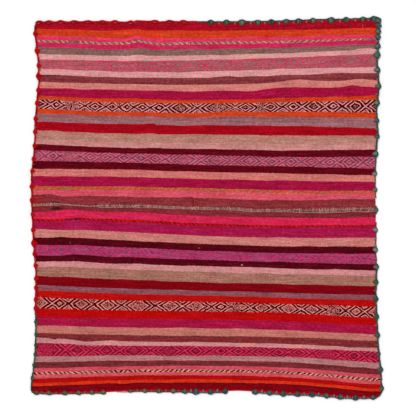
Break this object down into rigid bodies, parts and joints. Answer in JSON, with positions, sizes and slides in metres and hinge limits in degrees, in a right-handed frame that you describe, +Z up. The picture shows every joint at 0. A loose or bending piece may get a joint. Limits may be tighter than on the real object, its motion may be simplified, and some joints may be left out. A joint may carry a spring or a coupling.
{
  "type": "woven blanket",
  "caption": "Handwoven striped wool blanket laid flat, two loom panels joined by a stitched centre seam, with a crocheted shell edging round the rim.",
  "frame": {"origin": "centre of the bounding box, in the plane the blanket lies on", "axes": "+Z up out of the cloth's face, +X along the warp stripes and the centre seam, +Y across the stripes towards the picture's top edge"},
  "size_m": [1.1368, 1.231, 0.0107],
  "materials": {
    "upper_wool": "matt warp-faced wool in stripes",
    "lower_wool": "matt warp-faced wool in stripes",
    "seam_wool": "matt grey joining yarn",
    "red_yarn": "red crochet yarn",
    "green_yarn": "green and grey crochet yarn"
  },
  "bodies": {
    "root": {"panel_upper": "upper_wool", "panel_lower": "lower_wool", "seam_stitch": "seam_wool", "edging_red_top": "red_yarn", "edging_red_left": "red_yarn", "edging_green_top": "green_yarn", "edging_green_right_upper": "green_yarn", "edging_green_right_middle": "green_yarn", "edging_green_right_lower": "green_yarn", "edging_green_bottom_right": "green_yarn", "edging_green_bottom_middle": "green_yarn", "edging_green_bottom_left": "green_yarn", "edging_green_left": "green_yarn"}
  },
  "joints": []
}
